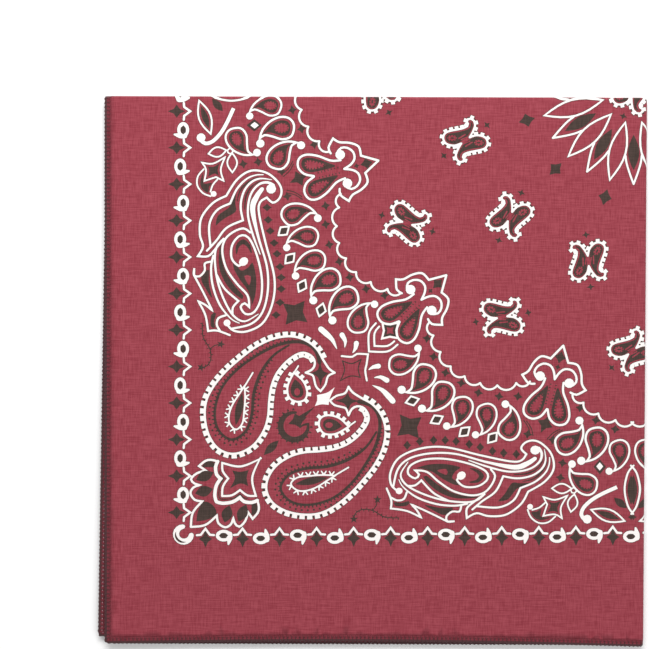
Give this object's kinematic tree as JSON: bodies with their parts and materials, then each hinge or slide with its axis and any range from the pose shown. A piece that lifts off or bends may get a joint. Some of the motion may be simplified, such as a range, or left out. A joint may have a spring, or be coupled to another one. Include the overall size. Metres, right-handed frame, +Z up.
{
  "type": "bandana",
  "caption": "Square printed cotton bandana folded in four into a flat square pad, with overlocked hems along its two open sides and soft folds along the other two.",
  "frame": {"origin": "under the middle of the folded square, on the surface that it lies on", "axes": "+Z up through the layers, +X towards the right fold, +Y towards the top fold"},
  "size_m": [0.2818, 0.2822, 0.006],
  "materials": {
    "printed_cotton": "burgundy plain-weave cotton sheeting, printed in black and white",
    "overlocked_hem": "narrow hem overlocked with dark maroon polyester thread"
  },
  "bodies": {
    "root": {"top_panel": "printed_cotton", "hidden_layers": "printed_cotton", "bottom_panel": "printed_cotton", "top_hem": "overlocked_hem", "second_hem": "overlocked_hem", "third_hem": "overlocked_hem", "bottom_hem": "overlocked_hem"}
  },
  "joints": []
}
